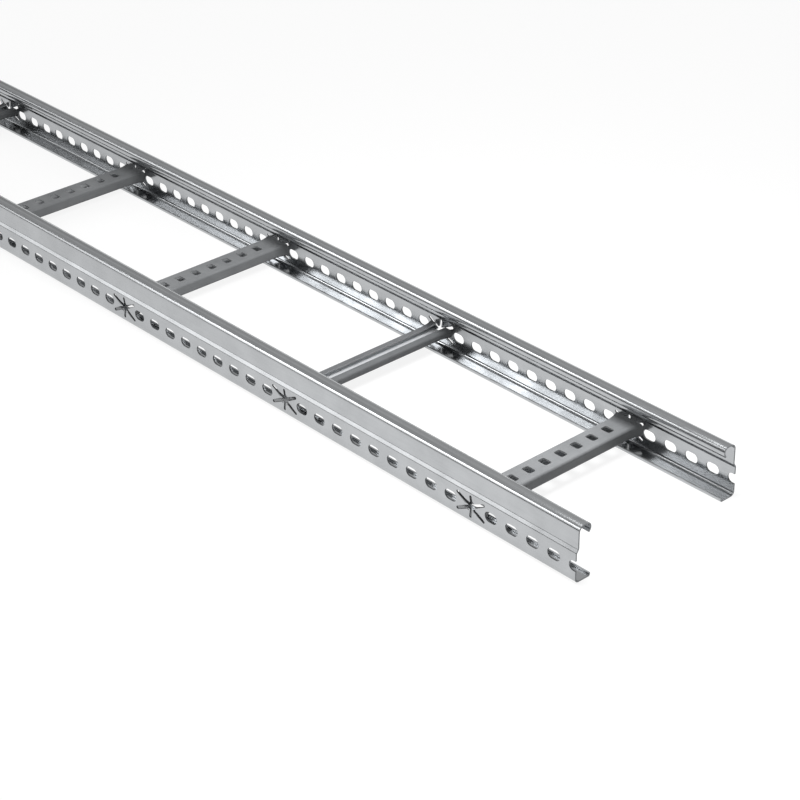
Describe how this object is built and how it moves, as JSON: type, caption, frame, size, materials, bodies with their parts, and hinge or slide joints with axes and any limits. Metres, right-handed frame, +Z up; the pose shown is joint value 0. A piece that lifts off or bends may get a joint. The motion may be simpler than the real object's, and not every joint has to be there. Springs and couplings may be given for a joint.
{
  "type": "cable ladder section",
  "caption": "Straight galvanised steel cable ladder: two perforated roll-formed side rails joined by channel rungs, some with a row of slots.",
  "frame": {"origin": "under the middle of the ladder, on the plane of the bottom flanges", "axes": "+X along the ladder, +Y across it from the near rail to the far rail, +Z up"},
  "size_m": [3, 0.2, 0.055],
  "materials": {
    "rail_steel": "continuously hot-dip galvanised sheet, roll-formed, satin",
    "rung_steel": "continuously hot-dip galvanised sheet, roll-formed, satin"
  },
  "bodies": {
    "root": {"side_rail_near": "rail_steel", "side_rail_far": "rail_steel", "rung_01": "rung_steel", "rung_02": "rung_steel", "rung_03": "rung_steel", "rung_04": "rung_steel", "rung_05": "rung_steel", "rung_06": "rung_steel", "rung_07": "rung_steel", "rung_08": "rung_steel", "rung_09": "rung_steel", "rung_10": "rung_steel", "rung_11": "rung_steel", "rung_12": "rung_steel"}
  },
  "joints": []
}
